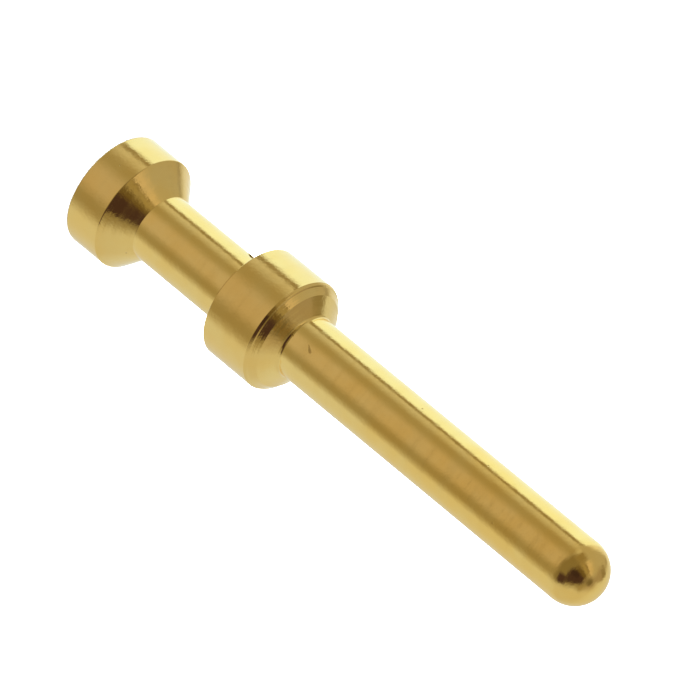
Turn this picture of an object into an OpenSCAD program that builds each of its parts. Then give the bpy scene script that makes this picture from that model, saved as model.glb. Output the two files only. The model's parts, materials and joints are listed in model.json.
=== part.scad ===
// Male crimp contact for a heavy-duty connector, turned from one bar.
// The axis is Z: the wire goes in at the flange, at z = 0, and the pin's tip points up.

/* [Pin] */
// Diameter of the contact pin
pin_d = 2.5; // [1.6:0.1:3.2]
// Length of the contact pin, from the collar's front cone to the tip
pin_len = 15.05; // [6:0.05:24]

/* [Collar] */
// Diameter of the locating collar
collar_d = 4.5; // [4.2:0.1:7]
// Length of the collar's straight band
collar_len = 2.13; // [0.6:0.01:5]
// Width of the steep chamfer on the band's front edge
chamfer_outer = 0.06; // [0.03:0.01:0.1]
// Angle between the steep chamfer and the axis
chamfer_outer_angle = 32; // [20:1:60]
// Width of the turned step that splits the front chamfer
step_w = 0.05; // [0.03:0.01:0.12]
// Angle at which the step rises towards the pin
step_slope = 30; // [0:1:40]
// Chamfer of 45 degrees between the turned step and the front cone
chamfer_inner = 0.21; // [0.1:0.01:0.3]
// Height of the shallow front cone, from the chamfer to the pin
front_cone_h = 0.365; // [0.1:0.005:0.8]

/* [Crimp barrel] */
// Diameter of the bore for the stripped wire
bore_d = 1.75; // [0.9:0.05:2.3]
// Wall of the crimp barrel
barrel_wall = 0.44; // [0.25:0.01:0.6]
// Length of the straight barrel, from the flange's cone to the collar
barrel_len = 4.78; // [3:0.01:10]
// Angle across the drill point at the end of the bore
drill_angle = 118; // [90:1:150]

/* [Inspection hole] */
// Diameter of the hole through one wall of the barrel
inspection_d = 0.8; // [0.4:0.05:1.2]
// Distance from the collar's rear shoulder back to the hole's centre
inspection_setback = 0.82; // [0.75:0.01:2]
// Straight bore that runs on past the hole
bore_past_hole = 0.27; // [0.1:0.01:0.6]

/* [Wire entry] */
// Diameter of the rear flange
flange_d = 4.55; // [4:0.05:7]
// Length of the flange's straight band
flange_len = 1.54; // [0.9:0.01:4]
// Angle between the flange's front cone and the axis
flange_cone_angle = 46; // [30:1:60]
// Diameter of the funnel's mouth
funnel_d = 3.2; // [2.6:0.05:3.6]
// Angle across the funnel
funnel_angle = 90; // [60:1:120]

/* [Edges] */
// Chamfer on the rear edges of the flange and the collar
edge_break = 0.03; // [0.02:0.01:0.1]
// Radius of the tool's nose, left in the inner corners
corner_r = 0.2; // [0.05:0.01:0.3]

/* [Hidden] */
$fn = 128;
// How far a cut runs past the face that it opens
overcut = 0.5;

pin_r = pin_d / 2;
collar_r = collar_d / 2;
flange_r = flange_d / 2;
bore_r = bore_d / 2;
barrel_r = bore_r + barrel_wall;
funnel_r = funnel_d / 2;

flange_cone_h = (flange_r - barrel_r) / tan(flange_cone_angle);
barrel_z = flange_len + flange_cone_h;
collar_z = barrel_z + barrel_len;
chamfer_z = collar_z + collar_len;
step_r = collar_r - chamfer_outer;
step_z = chamfer_z + chamfer_outer / tan(chamfer_outer_angle);
chamfer_inner_r = step_r - step_w;
chamfer_inner_z = step_z + step_w * tan(step_slope);
front_cone_r = chamfer_inner_r - chamfer_inner;
front_cone_z = chamfer_inner_z + chamfer_inner;
pin_z = front_cone_z + front_cone_h;
tip_z = pin_z + pin_len;
tip_centre_z = tip_z - pin_r;

inspection_z = collar_z - inspection_setback;
bore_len = inspection_z + inspection_d / 2 + bore_past_hole;
drill_point_h = bore_r / tan(drill_angle / 2);
funnel_slope = tan(funnel_angle / 2);
funnel_h = (funnel_r - bore_r) / funnel_slope;

up = [0, 1];
down = [0, -1];
outward = [1, 0];

function toward(from, to) = (to - from) / norm(to - from);

// Fills the inner corner between two straight edges with an arc of the tool's radius
module corner_fillet(corner, edge_a, edge_b) {
    half_angle = acos(edge_a * edge_b) / 2;
    tangent_len = corner_r / tan(half_angle);
    bisector = (edge_a + edge_b) / norm(edge_a + edge_b);
    centre = corner + bisector * corner_r / sin(half_angle);
    difference() {
        polygon([corner, corner + edge_a * tangent_len, centre, corner + edge_b * tangent_len]);
        translate(centre) circle(r = corner_r);
    }
}

// Half section of the bar, before drilling, up to the centre of the round tip
module turned_outline() {
    flange_edge = [flange_r, flange_len];
    barrel_root = [barrel_r, barrel_z];
    shoulder_root = [barrel_r, collar_z];
    front_cone_edge = [front_cone_r, front_cone_z];
    pin_root = [pin_r, pin_z];
    polygon([
        [0, 0],
        [flange_r - edge_break, 0],
        [flange_r, edge_break],
        flange_edge,
        barrel_root,
        shoulder_root,
        [collar_r - edge_break, collar_z],
        [collar_r, collar_z + edge_break],
        [collar_r, chamfer_z],
        [step_r, step_z],
        [chamfer_inner_r, chamfer_inner_z],
        front_cone_edge,
        pin_root,
        [pin_r, tip_centre_z],
        [0, tip_centre_z]
    ]);
    corner_fillet(barrel_root, toward(barrel_root, flange_edge), up);
    corner_fillet(shoulder_root, down, outward);
    corner_fillet(pin_root, toward(pin_root, front_cone_edge), up);
}

// Half section of the pin's round tip
module tip_outline() {
    translate([0, tip_centre_z]) intersection() {
        circle(r = pin_r);
        square(pin_r);
    }
}

// Half section of what the drill takes out: the funnel, the straight bore and the drill point
module bore_outline() {
    polygon([
        [-overcut, -overcut],
        [funnel_r + overcut * funnel_slope, -overcut],
        [bore_r, funnel_h],
        [bore_r, bore_len],
        [0, bore_len + drill_point_h],
        [-overcut, bore_len + drill_point_h]
    ]);
}

// Hole through one wall of the barrel, on the -X side, that shows the wire's end
module inspection_hole() {
    translate([0, 0, inspection_z])
        rotate([0, -90, 0])
            cylinder(d = inspection_d, h = barrel_r + overcut);
}

module crimp_contact() {
    color("goldenrod")
        difference() {
            rotate_extrude()
                difference() {
                    union() {
                        turned_outline();
                        tip_outline();
                    }
                    bore_outline();
                }
            inspection_hole();
        }
}

crimp_contact();
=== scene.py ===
import json
import math
from collections import namedtuple

import bpy
import numpy as np
from mathutils import Matrix, Vector


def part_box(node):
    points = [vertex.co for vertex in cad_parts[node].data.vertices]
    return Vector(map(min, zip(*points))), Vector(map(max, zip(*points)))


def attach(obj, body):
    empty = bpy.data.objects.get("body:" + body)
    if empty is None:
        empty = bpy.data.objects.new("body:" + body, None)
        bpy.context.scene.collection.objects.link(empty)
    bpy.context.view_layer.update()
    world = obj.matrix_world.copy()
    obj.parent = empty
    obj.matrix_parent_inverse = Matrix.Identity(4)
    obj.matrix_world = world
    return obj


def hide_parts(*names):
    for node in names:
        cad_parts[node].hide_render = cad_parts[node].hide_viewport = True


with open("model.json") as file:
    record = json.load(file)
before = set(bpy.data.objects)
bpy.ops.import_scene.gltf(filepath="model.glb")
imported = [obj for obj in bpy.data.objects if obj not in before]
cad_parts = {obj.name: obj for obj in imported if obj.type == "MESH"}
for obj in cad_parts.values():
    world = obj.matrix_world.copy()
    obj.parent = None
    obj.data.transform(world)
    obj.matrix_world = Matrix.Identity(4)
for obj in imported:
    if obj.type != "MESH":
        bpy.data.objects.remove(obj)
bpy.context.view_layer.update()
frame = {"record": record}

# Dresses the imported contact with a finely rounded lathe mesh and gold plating, and sets it in a studio
# before the photograph's camera.
NODE = "crimp_contact"
PIECE = NODE + "_plated"
SLOT = "gold_plating"
MM = 0.001
UP = Vector((0, 0, 1))

# Sizes of the turned part in millimetres, from the frame where it states them
MOUNTS = {mount["name"]: mount for mount in frame["record"]["mounts"]}
BOX_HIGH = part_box(NODE)[1]
PIN_R = MOUNTS["contact_pin"]["dims"]["r_mm"]
COLLAR_R = MOUNTS["locating_collar"]["dims"]["r_mm"]
BORE_R = MOUNTS["crimp_bore"]["dims"]["r_mm"]
FLANGE_R = BOX_HIGH.x / MM
TIP_Z = BOX_HIGH.z / MM
BARREL_WALL = 0.44
FLANGE_LEN = 1.54
FLANGE_CONE_ANGLE = math.radians(46)
BARREL_LEN = 4.78
COLLAR_LEN = 2.13
CHAMFER_OUTER = 0.06
CHAMFER_OUTER_ANGLE = math.radians(32)
STEP_W = 0.05
STEP_SLOPE = math.radians(30)
CHAMFER_INNER = 0.21
FRONT_CONE_H = 0.365
FUNNEL_R = 1.6
DRILL_ANGLE = math.radians(118)
HOLE_R = 0.4
HOLE_SETBACK = 0.82
BORE_PAST_HOLE = 0.27

BARREL_R = BORE_R + BARREL_WALL
BARREL_Z = FLANGE_LEN + (FLANGE_R - BARREL_R) / math.tan(FLANGE_CONE_ANGLE)
COLLAR_Z = BARREL_Z + BARREL_LEN
CHAMFER_Z = COLLAR_Z + COLLAR_LEN
STEP_R = COLLAR_R - CHAMFER_OUTER
STEP_Z = CHAMFER_Z + CHAMFER_OUTER / math.tan(CHAMFER_OUTER_ANGLE)
CHAMFER_INNER_R = STEP_R - STEP_W
CHAMFER_INNER_Z = STEP_Z + STEP_W * math.tan(STEP_SLOPE)
FRONT_CONE_R = CHAMFER_INNER_R - CHAMFER_INNER
FRONT_CONE_Z = CHAMFER_INNER_Z + CHAMFER_INNER
PIN_Z = FRONT_CONE_Z + FRONT_CONE_H
HOLE_Z = COLLAR_Z - HOLE_SETBACK
BORE_END_Z = HOLE_Z + HOLE_R + BORE_PAST_HOLE
DRILL_POINT_Z = BORE_END_Z + BORE_R / math.tan(DRILL_ANGLE / 2)
FUNNEL_H = FUNNEL_R - BORE_R

# Chamfer on the rear edges, and radii that the tool's nose leaves in the inner corners, in millimetres
EDGE_BREAK = 0.03
SHOULDER_ROOT_R = 0.2
BARREL_ROOT_R = 0.025
PIN_ROOT_R = 0.16

# Rounding that tumbling and plating leave on the turned edges, in millimetres
BROAD_EDGE_R = 0.08
SOFT_EDGE_R = 0.035
FINE_EDGE_R = 0.012
BORE_EDGE_R = 0.08

# Facets of the mesh: round the axis, round the inspection hole and along a rounded corner
LATHE_STEPS = 256
HOLE_STEPS = 96
ARC_STEP = math.radians(4)
# The hole's wall: how near its vertices lie to the true radius, in millimetres, and how far its faces may
# lean along the hole
WALL_TOLERANCE = 1e-4
WALL_LEAN = 0.2
# Radius below which a place counts as lying on the axis, in millimetres
AXIS_R = 1e-9

# Camera of the photograph, with lengths in millimetres: how far it stands, its height over the horizon, its
# turn towards the inspection hole and its roll. The axis point at AXIS_AIM_Z lies at AXIS_AIM_PIXEL of the
# square picture.
CAMERA_DISTANCE = 279.9
CAMERA_ELEVATION = math.radians(29.356)
CAMERA_TURN = math.radians(3)
CAMERA_ROLL = math.radians(39.424)
PICTURE_SIDE = 700
PIXELS_PER_MM = 28.68
AXIS_AIM_Z = 13.025
AXIS_AIM_PIXEL = (360.94, 393.70)
SENSOR_WIDTH = 36.0
# Nearest distance that the camera sees, in metres
CLIP_START = 0.01

# Tints of the studio's surfaces, from unlit ones over bulb light to daylight
BROWN = Vector((1.0, 0.55, 0.54))
RUST = Vector((1.0, 0.70, 0.28))
BULB = Vector((1.0, 0.80, 0.44))
AMBER = Vector((1.0, 0.83, 0.52))
WARM = Vector((1.0, 0.83, 0.66))
CREAM = Vector((1.0, 0.90, 0.73))
PALE = Vector((1.0, 0.95, 0.86))
LINEN = Vector((1.0, 0.98, 0.93))
WHITE = Vector((1.0, 1.00, 0.98))
DAYLIGHT = Vector((1.0, 1.15, 1.25))

# Soft panels of the studio, laid over each other in this order. Azimuth is counted from the camera's side
# towards the inspection hole and elevation from the horizon, in degrees. Past its half sizes a panel fades
# out over its edge sizes.
Panel = namedtuple(
    "Panel", "azimuth elevation half_width half_height edge_width edge_height brightness tint"
)
HALF_TURN = 180.0
SURROUND_COLOUR = 0.62 * PALE
PANELS = {
    "underside": Panel(0, -90, 180, 28, 20, 18, 0.22, AMBER),
    "ceiling": Panel(0, 90, 180, 12, 26, 26, 0.40, WARM),
    "back_wall": Panel(180, 10, 26, 30, 30, 30, 0.68, WHITE),
    "right_wall": Panel(102, 25, 35, 35, 12, 25, 0.455, CREAM),
    "left_curtain": Panel(-76, 64, 10, 8, 24, 16, 0.35, AMBER),
    "lintel": Panel(132, 58, 18, 12, 16, 14, 0.36, WARM),
    "doorway": Panel(136, 36, 9, 5, 12, 8, 0.27, AMBER),
    "door_post": Panel(137, 10, 1, 8, 4, 8, 0.37, CREAM),
    "light_table": Panel(-125, -38, 42, 14, 18, 16, 0.67, LINEN),
    "light_table_end": Panel(-150, -38, 12, 14, 36, 16, 0.68, WHITE),
    "window_glow": Panel(160, -45, 8, 22, 42, 26, 0.90, DAYLIGHT),
    "window_head": Panel(138, -14, 24, 6, 30, 14, 0.80, WHITE),
    "bright_window": Panel(129, -50, 34, 30, 16, 10, 0.97, DAYLIGHT),
    "table_edge": Panel(-3, -36, 40, 14, 12, 12, 0.52, WARM),
    "table_left_shade": Panel(-48, -36, 3, 14, 31, 16, 0.345, AMBER),
    "table_right_shade": Panel(40, -36, 3, 14, 30, 16, 0.37, AMBER),
    "window_frame": Panel(80, -42, 3, 20, 5, 8, 0.315, AMBER),
    "table_rim": Panel(-25, -12, 25, 6, 25, 9, 0.23, BULB),
    "dim_room": Panel(-10, 28, 36, 33, 36, 22, 0.23, BULB),
    "shelf": Panel(57, 51, 4, 13, 24, 16, 0.62, WARM),
    "cupboard": Panel(39, 48, 9, 18, 4, 12, 0.345, BULB),
    "cupboard_edge": Panel(48, 53, 2, 14, 2, 12, 0.24, BULB),
    "cupboard_foot": Panel(46, 12, 8, 8, 18, 14, 0.28, BULB),
    "screen_side": Panel(8, 49, 8, 17, 12, 12, 0.145, RUST),
    "dark_screen": Panel(-24, 43, 19, 22, 14, 12, 0.063, BROWN),
    "dark_card": Panel(-47, 4, 10, 8, 11, 10, 0.07, BROWN),
    "dark_core": Panel(-8, 36, 7, 6, 9, 9, 0.045, BROWN),
    "lamp_shade": Panel(0, 90, 180, 5, 20, 13, 0.16, BULB),
}
BACKDROP_COLOUR = (1.0, 1.0, 1.0, 1.0)

# Side of the floor, and side, height and power of the light overhead, in metres and watts
FLOOR_SIDE = 4.0
FLOOR_COLOUR = (0.92, 0.92, 0.92, 1.0)
FLOOR_ROUGHNESS = 0.9
OVERHEAD_SIDE = 0.5
OVERHEAD_HEIGHT = 0.45
OVERHEAD_POWER = 9.0

# Colours of the plating, of duller plating in the bore, whose gold also lays painted shade on the wide
# bands, and of the bare metal in scratches and pits
PALE_GOLD = (1.0, 0.78, 0.29, 1.0)
DEEP_GOLD = (1.0, 0.71, 0.205, 1.0)
DULL_AND_SHADED_GOLD = (0.80, 0.55, 0.20, 1.0)
MARK_BROWN = (0.42, 0.26, 0.08, 1.0)
# Share of the deep gold: what cloudy patches take, and what the pin gains over its first PIN_TONE_REACH
# millimetres
PATCH_SHARE = 0.6
PIN_SHARE = 0.38
PIN_TONE_REACH = 9.0
# Share of the duller gold that the wide bands take, as painted shade that darkens the flange and the collar
WIDE_BAND_PAINTED_SHADE = 0.15
# Share of the bare metal in scratches and pits
MARK_SHARE = 0.4

# Roughness of the polished and of the matt rings, and what the bore and the marks add to it
RING_ROUGHNESS = (0.05, 0.18)
BORE_ROUGHNESS = 0.16
MARK_ROUGHNESS = 0.25

# Textures of the plating: features in a millimetre, octaves, weight of the finer octaves, and depth of the
# relief in millimetres where they have one
Texture = namedtuple("Texture", "per_mm octaves fineness depth")
FINE_RINGS = Texture(10.0, 3.0, 0.6, 0.0010)
SLOW_RINGS = Texture(4.0, 1.0, 0.6, 0.0040)
FACING_RINGS = Texture(16.0, 1.0, 0.6, 0.0018)
FRONT_RINGS = Texture(13.0, 1.0, 0.6, 0.0050)
GLOSS_RINGS = Texture(1.6, 3.0, 0.6, None)
WAVES = Texture(3.0, 4.0, 0.65, 0.0080)
CHATTER = Texture(8.0, 2.0, 0.5, 0.0024)
TONES = Texture(0.8, 3.0, 0.5, None)
# Values between which a texture's height goes from its low to its high tone
TEXTURE_SPAN = (0.3, 0.7)
# Depth of scratches and pits, in millimetres
MARK_DEPTH = 0.006

# Margins and fades at the borders of textures and tones, in millimetres
FRONT_FADE = 0.05
BORE_MARGIN = 0.05
BORE_FADE = 0.2
WIDE_MARGIN = 0.1

# Short scratch on the pin near its root: height of both ends, their angle from the camera's side, the half
# width there, and the shares of the half width at which it is full and gone
SCRATCH_ENDS = ((10.88, math.radians(7.0)), (11.11, math.radians(-0.4)))
SCRATCH_HALF_WIDTHS = (0.010, 0.044)
SCRATCH_SPAN = (0.4, 1.8)

# Pits: cells in a millimetre, reach of a pit and of its full depth in cells, and the span of the cells'
# random values over which they get a pit
PITS_PER_MM = 1.3
PIT_REACH = 0.06
PIT_CORE = 0.024
PIT_CHANCE = (0.55, 0.75)

# Where a shaded spot lies, in millimetres: its place, its distance from the axis, its height and how far
# the turning tool had gone when it passed there
Spot = namedtuple("Spot", "place radius height tool_path")


def round_corner(before, corner, after, radius):
    """Points and normals of the arc that rounds one corner of the half section."""
    first = (corner - before).normalized()
    second = (after - corner).normalized()
    turn = first.angle_signed(second)
    side = -1.0 if turn > 0 else 1.0
    first_normal = Vector((first.y, -first.x))
    start = corner - first * radius * math.tan(abs(turn) / 2)
    centre = start - side * first_normal * radius
    steps = max(2, math.ceil(abs(turn) / ARC_STEP))
    arc = []
    for step in range(steps + 1):
        normal = first_normal.copy()
        normal.rotate(Matrix.Rotation(-turn * step / steps, 2))
        arc.append((centre + side * normal * radius, normal))
    return arc


def turned_profile():
    """Half section from the drill point, round the wire entry, to the tip, as points and outward normals."""
    corners = [
        (0.0, DRILL_POINT_Z, 0.0),
        (BORE_R, BORE_END_Z, BORE_EDGE_R),
        (BORE_R, FUNNEL_H, BORE_EDGE_R),
        (FUNNEL_R, 0.0, SOFT_EDGE_R),
        (FLANGE_R - EDGE_BREAK, 0.0, SOFT_EDGE_R),
        (FLANGE_R, EDGE_BREAK, SOFT_EDGE_R),
        (FLANGE_R, FLANGE_LEN, BROAD_EDGE_R),
        (BARREL_R, BARREL_Z, BARREL_ROOT_R),
        (BARREL_R, COLLAR_Z, SHOULDER_ROOT_R),
        (COLLAR_R - EDGE_BREAK, COLLAR_Z, SOFT_EDGE_R),
        (COLLAR_R, COLLAR_Z + EDGE_BREAK, SOFT_EDGE_R),
        (COLLAR_R, CHAMFER_Z, SOFT_EDGE_R),
        (STEP_R, STEP_Z, FINE_EDGE_R),
        (CHAMFER_INNER_R, CHAMFER_INNER_Z, FINE_EDGE_R),
        (FRONT_CONE_R, FRONT_CONE_Z, SOFT_EDGE_R),
        (PIN_R, PIN_Z, PIN_ROOT_R),
        (PIN_R, TIP_Z, PIN_R),
        (0.0, TIP_Z, 0.0),
    ]
    spots = [Vector(corner[:2]) for corner in corners]
    first_edge = (spots[1] - spots[0]).normalized()
    profile = [(spots[0], Vector((first_edge.y, -first_edge.x)))]
    for index in range(1, len(corners) - 1):
        profile += round_corner(spots[index - 1], spots[index], spots[index + 1], corners[index][2])
    return profile


def angles_round(steps):
    return [2 * math.pi * step / steps for step in range(steps)]


def lathe_mesh(profile):
    """The half section turned round the axis, in millimetres, closed at both poles."""
    angles = angles_round(LATHE_STEPS)
    rings = [point for point, normal in profile[1:-1]]
    vertices = [(0.0, 0.0, profile[0][0].y)]
    for ring in rings:
        vertices += [(ring.x * math.cos(a), ring.x * math.sin(a), ring.y) for a in angles]
    vertices.append((0.0, 0.0, profile[-1][0].y))
    last = len(vertices) - 1
    faces = []
    for step in range(LATHE_STEPS):
        following = (step + 1) % LATHE_STEPS
        faces.append((0, 1 + step, 1 + following))
        for ring in range(len(rings) - 1):
            low = 1 + ring * LATHE_STEPS
            high = low + LATHE_STEPS
            faces.append((low + following, low + step, high + step, high + following))
        top = last - LATHE_STEPS
        faces.append((last, top + following, top + step))
    mesh = bpy.data.meshes.new(NODE)
    mesh.from_pydata(vertices, [], faces)
    return mesh


def hole_cutter():
    """Rod along -X that drills the inspection hole through one wall of the barrel, in millimetres."""
    angles = angles_round(HOLE_STEPS)
    ends = (-2 * BARREL_R, -BORE_R / 2)
    vertices = []
    for x in ends:
        vertices += [(x, HOLE_R * math.cos(a), HOLE_Z + HOLE_R * math.sin(a)) for a in angles]
    faces = [tuple(reversed(range(HOLE_STEPS))), tuple(range(HOLE_STEPS, 2 * HOLE_STEPS))]
    for step in range(HOLE_STEPS):
        following = (step + 1) % HOLE_STEPS
        faces.append((step, following, HOLE_STEPS + following, HOLE_STEPS + step))
    mesh = bpy.data.meshes.new("inspection_hole")
    mesh.from_pydata(vertices, [], faces)
    return mesh


def link_object(name, data):
    thing = bpy.data.objects.new(name, data)
    bpy.context.scene.collection.objects.link(thing)
    return thing


def drilled(mesh):
    """The mesh with the inspection hole cut through it."""
    body = link_object("turned_body", mesh)
    cutter = link_object("inspection_hole", hole_cutter())
    cut = body.modifiers.new("inspection_hole", "BOOLEAN")
    cut.operation = "DIFFERENCE"
    cut.solver = "EXACT"
    cut.object = cutter
    bpy.context.view_layer.update()
    evaluated = body.evaluated_get(bpy.context.evaluated_depsgraph_get())
    result = bpy.data.meshes.new_from_object(evaluated)
    for thing in (body, cutter):
        data = thing.data
        bpy.data.objects.remove(thing)
        bpy.data.meshes.remove(data)
    return result


def profile_normals(profile, places):
    """Outward normal of the turned surface at each place, from the nearest stretch of the half section."""
    points = np.array([point for point, normal in profile])
    normals = np.array([normal for point, normal in profile])
    radius = np.hypot(places[:, 0], places[:, 1])
    flat = np.stack([radius, places[:, 2]], axis=1)
    best = np.full(len(flat), np.inf)
    found = np.zeros_like(flat)
    for index, edge in enumerate(np.diff(points, axis=0)):
        from_start = flat - points[index]
        share = np.clip(from_start @ edge / (edge @ edge), 0, 1)
        gap = np.linalg.norm(from_start - share[:, None] * edge, axis=1)
        nearer = gap < best
        blend = normals[index] + share[:, None] * (normals[index + 1] - normals[index])
        found[nearer] = blend[nearer]
        best[nearer] = gap[nearer]
    outward = places[:, :2] / np.maximum(radius, AXIS_R)[:, None]
    return np.column_stack([outward * found[:, :1], found[:, 1]])


def set_true_normals(mesh, profile):
    """Gives every face corner the exact normal of the turned surface or of the hole's wall."""
    places = np.array([vertex.co for vertex in mesh.vertices])
    turned = profile_normals(profile, places)
    from_hole = places * (0, 1, 1) - (0, 0, HOLE_Z)
    off_wall = np.abs(np.linalg.norm(from_hole, axis=1) - HOLE_R)
    on_wall = (off_wall < WALL_TOLERANCE) & (places[:, 0] < 0)
    corner_normals = []
    for face in mesh.polygons:
        wall = all(on_wall[index] for index in face.vertices) and abs(face.normal.x) < WALL_LEAN
        for index in face.vertices:
            corner_normals.append(-from_hole[index] if wall else turned[index])
    corner_normals = np.array(corner_normals)
    corner_normals /= np.linalg.norm(corner_normals, axis=1)[:, None]
    mesh.shade_smooth()
    mesh.normals_split_custom_set(corner_normals.tolist())


def build_contact():
    profile = turned_profile()
    mesh = drilled(lathe_mesh(profile))
    mesh.name = PIECE
    set_true_normals(mesh, profile)
    mesh.transform(Matrix.Scale(MM, 4))
    return link_object(PIECE, mesh)


def level_directions():
    """Level direction to the camera and level direction towards the inspection hole's side."""
    level = Vector((-math.sin(CAMERA_TURN), -math.cos(CAMERA_TURN), 0.0))
    sideways = Vector((-math.cos(CAMERA_TURN), math.sin(CAMERA_TURN), 0.0))
    return level, sideways


def add_node(tree, kind, inputs=(), output=0, **settings):
    """Adds a node with its settings, links or sets its inputs, and gives back one output."""
    node = tree.nodes.new(kind)
    for name, value in settings.items():
        setattr(node, name, value)
    for key, value in dict(inputs).items():
        if isinstance(value, bpy.types.NodeSocket):
            tree.links.new(value, node.inputs[key])
        else:
            node.inputs[key].default_value = value
    return node.outputs[output]


def calculate(tree, operation, first, second=0.0, third=0.0):
    return add_node(tree, "ShaderNodeMath", {0: first, 1: second, 2: third}, operation=operation)


def dot_product(tree, first, second):
    return add_node(tree, "ShaderNodeVectorMath", {0: first, 1: second}, "Value", operation="DOT_PRODUCT")


def ramp_between(tree, value, low, high, at_low=0.0, at_high=1.0):
    """Smooth step of a value, from at_low to at_high."""
    ends = {"Value": value, "From Min": low, "From Max": high, "To Min": at_low, "To Max": at_high}
    return add_node(tree, "ShaderNodeMapRange", ends, interpolation_type="SMOOTHSTEP")


def blend_colours(tree, share, first, second):
    """Mix of two colours. Its sockets go by number, because a Mix node has several of each name."""
    return add_node(tree, "ShaderNodeMix", {0: share, 6: first, 7: second}, output=2, data_type="RGBA")


def noise_inputs(texture):
    return {"Scale": texture.per_mm, "Detail": texture.octaves, "Roughness": texture.fineness}


def ring_texture(tree, way, texture):
    """Height that changes only along one way, as the rings of a turning tool do."""
    inputs = {"W": way, **noise_inputs(texture)}
    return add_node(tree, "ShaderNodeTexNoise", inputs, noise_dimensions="1D")


def cloud_texture(tree, place, texture):
    """Height that changes alike in all directions."""
    return add_node(tree, "ShaderNodeTexNoise", {"Vector": place, **noise_inputs(texture)})


def plated_spot(tree):
    place = add_node(tree, "ShaderNodeTexCoord", output="Object")
    place_mm = add_node(tree, "ShaderNodeVectorMath", {0: place, "Scale": 1 / MM}, operation="SCALE")
    split = tree.nodes.new("ShaderNodeSeparateXYZ")
    tree.links.new(place_mm, split.inputs[0])
    x, y, height = split.outputs
    flat = add_node(tree, "ShaderNodeCombineXYZ", {"X": x, "Y": y})
    radius = add_node(tree, "ShaderNodeVectorMath", {0: flat}, "Value", operation="LENGTH")
    return Spot(place_mm, radius, height, calculate(tree, "SUBTRACT", height, radius))


def bore_mask(tree, spot):
    """One inside the wire's bore and zero on the outside of the part."""
    inner = BORE_R + BORE_MARGIN
    inward = ramp_between(tree, spot.radius, inner, inner + BORE_FADE, 1.0, 0.0)
    below_point = ramp_between(tree, spot.height, DRILL_POINT_Z, DRILL_POINT_Z + BORE_FADE, 1.0, 0.0)
    return calculate(tree, "MULTIPLY", inward, below_point)


def front_mask(tree, spot):
    """One on the collar's stepped front, falling softly to zero past it."""
    above = ramp_between(tree, spot.height, CHAMFER_Z - FRONT_FADE, CHAMFER_Z)
    below = ramp_between(tree, spot.height, PIN_Z, PIN_Z + FRONT_FADE, 1.0, 0.0)
    return calculate(tree, "MULTIPLY", above, below)


def pit_mask(tree, spot):
    """One in a few tiny pits of the plating, and zero elsewhere."""
    cells = tree.nodes.new("ShaderNodeTexVoronoi")
    cells.inputs["Scale"].default_value = PITS_PER_MM
    tree.links.new(spot.place, cells.inputs["Vector"])
    hollow = ramp_between(tree, cells.outputs["Distance"], PIT_CORE, PIT_REACH, 1.0, 0.0)
    chance = add_node(tree, "ShaderNodeSeparateColor", {0: cells.outputs["Color"]})
    return calculate(tree, "MULTIPLY", hollow, ramp_between(tree, chance, *PIT_CHANCE))


def scratch_end(height, angle):
    """Place on the pin's surface, in millimetres, at a height and an angle from the camera's side."""
    level, sideways = level_directions()
    outward = math.cos(angle) * level + math.sin(angle) * sideways
    return PIN_R * outward + height * UP


def scratch_mask(tree, spot):
    """One along the scratch, which is a short straight stroke, and zero elsewhere."""
    first, last = (scratch_end(*end) for end in SCRATCH_ENDS)
    length = (last - first).length
    along = (last - first).normalized()
    from_first = add_node(tree, "ShaderNodeVectorMath", {0: spot.place, 1: first}, operation="SUBTRACT")
    reach = dot_product(tree, from_first, along)
    held = calculate(tree, "MINIMUM", calculate(tree, "MAXIMUM", reach, 0.0), length)
    nearest = add_node(tree, "ShaderNodeVectorMath", {0: along, "Scale": held}, operation="SCALE")
    gap = add_node(tree, "ShaderNodeVectorMath", {0: from_first, 1: nearest}, "Value", operation="DISTANCE")
    half_width = ramp_between(tree, reach, 0.0, length, *SCRATCH_HALF_WIDTHS)
    share = calculate(tree, "DIVIDE", gap, half_width)
    return ramp_between(tree, share, *SCRATCH_SPAN, 1.0, 0.0)


def stacked_bumps(tree, layers):
    """Normal of several height layers, each with its depth in millimetres, laid over each other."""
    normal = None
    for height, depth in layers:
        inputs = {"Height": height, "Strength": 1.0, "Distance": depth * MM}
        if normal:
            inputs["Normal"] = normal
        normal = add_node(tree, "ShaderNodeBump", inputs)
    return normal


def plating_colour(tree, spot, bore, wide, marks):
    """Gold with cloudy patches, deeper along the pin, duller in the bore, with a little painted shade on the
    wide bands.
    """
    patches = ramp_between(tree, cloud_texture(tree, spot.place, TONES), *TEXTURE_SPAN)
    pin_tone = ramp_between(tree, spot.height, PIN_Z, PIN_Z + PIN_TONE_REACH, 0.0, PIN_SHARE)
    depth = calculate(tree, "MULTIPLY_ADD", patches, PATCH_SHARE, pin_tone)
    colour = blend_colours(tree, depth, PALE_GOLD, DEEP_GOLD)
    # The bore's duller gold, and on the wide bands a share of it as painted shade
    dull_and_shade = calculate(tree, "MAXIMUM", bore, calculate(tree, "MULTIPLY", wide, WIDE_BAND_PAINTED_SHADE))
    colour = blend_colours(tree, dull_and_shade, colour, DULL_AND_SHADED_GOLD)
    return blend_colours(tree, calculate(tree, "MULTIPLY", marks, MARK_SHARE), colour, MARK_BROWN)


def plating_roughness(tree, spot, bore, marks):
    """Rings of more and less polish, rougher in the bore and in the marks."""
    polish = ring_texture(tree, spot.tool_path, GLOSS_RINGS)
    roughness = ramp_between(tree, polish, *TEXTURE_SPAN, *RING_ROUGHNESS)
    roughness = calculate(tree, "MULTIPLY_ADD", bore, BORE_ROUGHNESS, roughness)
    return calculate(tree, "MULTIPLY_ADD", marks, MARK_ROUGHNESS, roughness)


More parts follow.
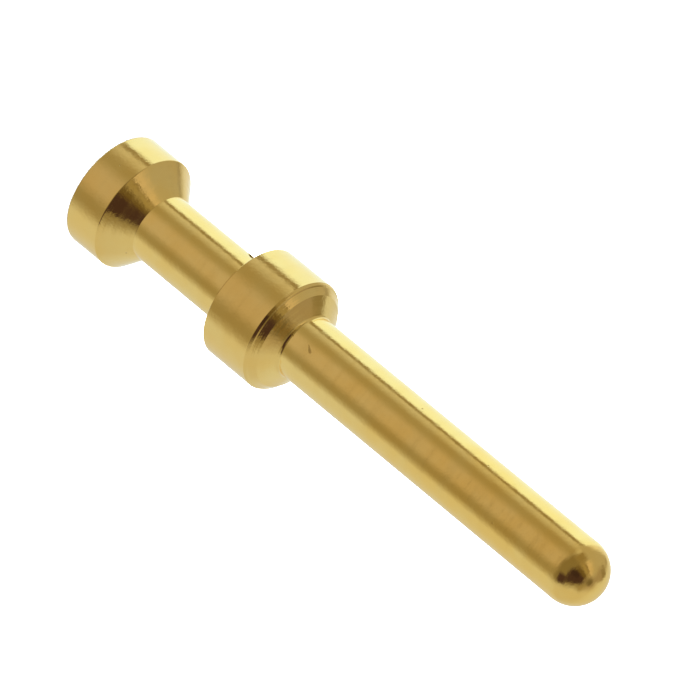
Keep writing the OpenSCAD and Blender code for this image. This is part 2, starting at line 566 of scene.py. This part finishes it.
def plating_relief(tree, spot, wide, marks):
    """Normal of slow waves, the tool's rings, chatter on the wide bands and sunken marks."""
    front_rings = ring_texture(tree, spot.radius, FRONT_RINGS)
    chatter = cloud_texture(tree, spot.place, CHATTER)
    layers = [
        (cloud_texture(tree, spot.place, WAVES), WAVES.depth),
        (ring_texture(tree, spot.radius, SLOW_RINGS), SLOW_RINGS.depth),
        (ring_texture(tree, spot.radius, FACING_RINGS), FACING_RINGS.depth),
        (calculate(tree, "MULTIPLY", front_mask(tree, spot), front_rings), FRONT_RINGS.depth),
        (calculate(tree, "MULTIPLY", chatter, wide), CHATTER.depth),
        (ring_texture(tree, spot.tool_path, FINE_RINGS), FINE_RINGS.depth),
        (calculate(tree, "MULTIPLY", marks, -1.0), MARK_DEPTH),
    ]
    return stacked_bumps(tree, layers)


def gold_material():
    """Bright gold plating over turned metal, with a short scratch and a few pits."""
    material = bpy.data.materials.new(SLOT)
    material.use_nodes = True
    tree = material.node_tree
    spot = plated_spot(tree)
    bore = bore_mask(tree, spot)
    wide = ramp_between(tree, spot.radius, BARREL_R, COLLAR_R - WIDE_MARGIN)
    marks = calculate(tree, "MAXIMUM", pit_mask(tree, spot), scratch_mask(tree, spot))
    shader = tree.nodes["Principled BSDF"]
    shader.inputs["Metallic"].default_value = 1.0
    tree.links.new(plating_colour(tree, spot, bore, wide, marks), shader.inputs["Base Color"])
    tree.links.new(plating_roughness(tree, spot, bore, marks), shader.inputs["Roughness"])
    tree.links.new(plating_relief(tree, spot, wide, marks), shader.inputs["Normal"])
    return material


def floor_material():
    material = bpy.data.materials.new("pale_floor")
    material.use_nodes = True
    shader = material.node_tree.nodes["Principled BSDF"]
    shader.inputs["Base Color"].default_value = FLOOR_COLOUR
    shader.inputs["Roughness"].default_value = FLOOR_ROUGHNESS
    shader.inputs["Specular IOR Level"].default_value = 0.0
    return material


def build_floor():
    """Pale floor under the standing part, which the metal doesn't mirror."""
    half = FLOOR_SIDE / 2
    corners = [(-half, -half, 0.0), (half, -half, 0.0), (half, half, 0.0), (-half, half, 0.0)]
    mesh = bpy.data.meshes.new("floor")
    mesh.from_pydata(corners, [], [(0, 1, 2, 3)])
    mesh.materials.append(floor_material())
    floor = link_object("floor", mesh)
    floor.visible_glossy = False


def panel_mask(tree, azimuth, elevation, panel):
    """One on the panel, falling softly to zero past its edges."""
    masks = []
    for angle, middle, half, edge in (
        (azimuth, panel.azimuth, panel.half_width, panel.edge_width),
        (elevation, panel.elevation, panel.half_height, panel.edge_height),
    ):
        offset = calculate(tree, "SUBTRACT", angle, middle)
        turned = calculate(tree, "WRAP", offset, HALF_TURN, -HALF_TURN)
        away = calculate(tree, "ABSOLUTE", turned)
        masks.append(ramp_between(tree, away, half, half + edge, 1.0, 0.0))
    return calculate(tree, "MULTIPLY", *masks)


def build_surround():
    """Soft studio that the metal mirrors, with a white backdrop where the camera looks past the part."""
    world = bpy.data.worlds.new("studio")
    bpy.context.scene.world = world
    world.use_nodes = True
    tree = world.node_tree
    level, sideways = level_directions()

    direction = add_node(tree, "ShaderNodeTexCoord", output="Generated")
    ahead = dot_product(tree, direction, level)
    across = dot_product(tree, direction, sideways)
    azimuth = calculate(tree, "DEGREES", calculate(tree, "ARCTAN2", across, ahead))
    height = add_node(tree, "ShaderNodeSeparateXYZ", {0: direction}, "Z")
    elevation = calculate(tree, "DEGREES", calculate(tree, "ARCSINE", height))

    colour = (*SURROUND_COLOUR, 1.0)
    for panel in PANELS.values():
        mask = panel_mask(tree, azimuth, elevation, panel)
        colour = blend_colours(tree, mask, colour, (*(panel.brightness * panel.tint), 1.0))
    seen_by_camera = add_node(tree, "ShaderNodeLightPath", output=0)
    colour = blend_colours(tree, seen_by_camera, colour, BACKDROP_COLOUR)
    tree.links.new(colour, tree.nodes["Background"].inputs["Color"])


def build_overhead_light():
    """Large light that brightens the floor, and which the metal doesn't mirror."""
    lamp = bpy.data.lights.new("overhead", "AREA")
    lamp.shape = "SQUARE"
    lamp.size = OVERHEAD_SIDE
    lamp.energy = OVERHEAD_POWER
    overhead = link_object("overhead", lamp)
    overhead.location = OVERHEAD_HEIGHT * UP
    overhead.visible_glossy = False
    overhead.visible_camera = False


def build_camera():
    """The photograph's camera, rolled so that the standing part points to the lower right."""
    level, sideways = level_directions()
    to_camera = math.cos(CAMERA_ELEVATION) * level + math.sin(CAMERA_ELEVATION) * UP
    axis_up = math.cos(CAMERA_ELEVATION) * UP - math.sin(CAMERA_ELEVATION) * level
    right = math.cos(CAMERA_ROLL) * axis_up + math.sin(CAMERA_ROLL) * sideways
    up = math.cos(CAMERA_ROLL) * sideways - math.sin(CAMERA_ROLL) * axis_up
    shift_right = (AXIS_AIM_PIXEL[0] - PICTURE_SIDE / 2) / PIXELS_PER_MM
    shift_down = (AXIS_AIM_PIXEL[1] - PICTURE_SIDE / 2) / PIXELS_PER_MM
    aim = AXIS_AIM_Z * UP - shift_right * right + shift_down * up
    lens = bpy.data.cameras.new("camera")
    lens.sensor_width = SENSOR_WIDTH
    lens.lens = SENSOR_WIDTH * PIXELS_PER_MM * CAMERA_DISTANCE / PICTURE_SIDE
    lens.clip_start = CLIP_START
    camera = link_object("camera", lens)
    turn = Matrix((right, up, to_camera)).transposed()
    camera.matrix_world = Matrix.LocRotScale((aim + CAMERA_DISTANCE * to_camera) * MM, turn, None)
    bpy.context.scene.camera = camera


contact = build_contact()
contact.data.materials.append(gold_material())
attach(contact, "root")
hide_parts(NODE)
build_floor()
build_surround()
build_overhead_light()
build_camera()
bpy.context.scene.view_settings.view_transform = "Standard"
bpy.context.view_layer.update()
